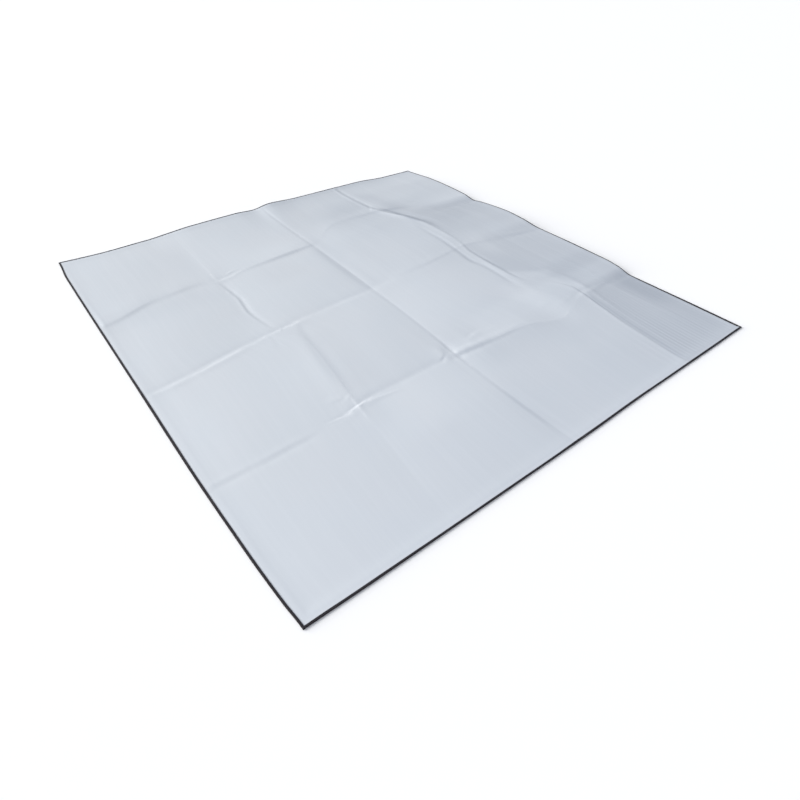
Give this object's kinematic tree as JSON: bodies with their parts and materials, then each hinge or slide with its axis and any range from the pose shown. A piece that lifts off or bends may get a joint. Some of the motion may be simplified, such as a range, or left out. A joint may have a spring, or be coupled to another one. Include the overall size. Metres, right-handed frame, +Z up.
{
  "type": "foil camping mat",
  "caption": "Square ground mat of thin foil-faced foam, opened out flat with its fold creases and dark taped edges.",
  "frame": {"origin": "on the ground under the middle of the mat's bounding box", "axes": "+Z up from the ground; +X along the near edge, towards the edge that stands up off the ground; +Y from the near edge to the far one"},
  "size_m": [2.026, 2.011, 0.0364],
  "materials": {
    "foil": "satin silver foil film, finely ribbed, laminated on thin white foam",
    "tape": "matte woven tape, near black, folded over the edge and stitched"
  },
  "bodies": {
    "root": {"mat_sheet": "foil", "tape_near": "tape", "tape_far": "tape", "tape_left": "tape", "tape_right": "tape"}
  },
  "joints": []
}
